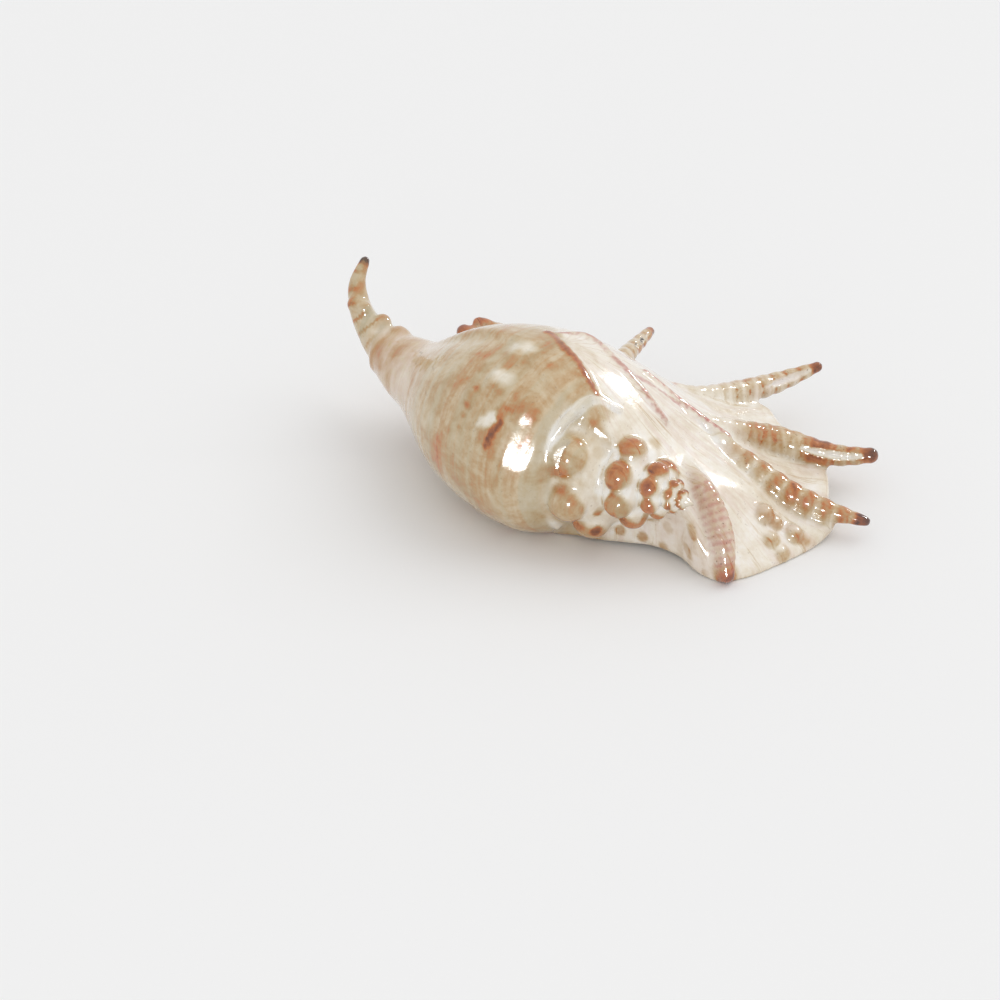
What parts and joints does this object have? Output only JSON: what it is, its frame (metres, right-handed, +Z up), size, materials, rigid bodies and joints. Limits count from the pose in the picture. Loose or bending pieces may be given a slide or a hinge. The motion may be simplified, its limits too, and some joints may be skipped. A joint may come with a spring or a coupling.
{
  "type": "spider conch shell",
  "caption": "Large spider conch shell lying on its mouth, with a flared, fingered lip, a knobbed spire, an upturned canal and a mottled, glossy glaze.",
  "frame": {"origin": "on the surface the shell lies on, under the middle of its bounding box", "axes": "+X along the axis of coiling towards the apex, +Y out to the fingers of the lip, +Z up through the back"},
  "size_m": [0.2877, 0.2152, 0.0938],
  "materials": {
    "glazed_shell": "high gloss, cream and tan, mottled with olive grey and rust brown"
  },
  "bodies": {
    "root": {"shell": "glazed_shell"}
  },
  "joints": []
}
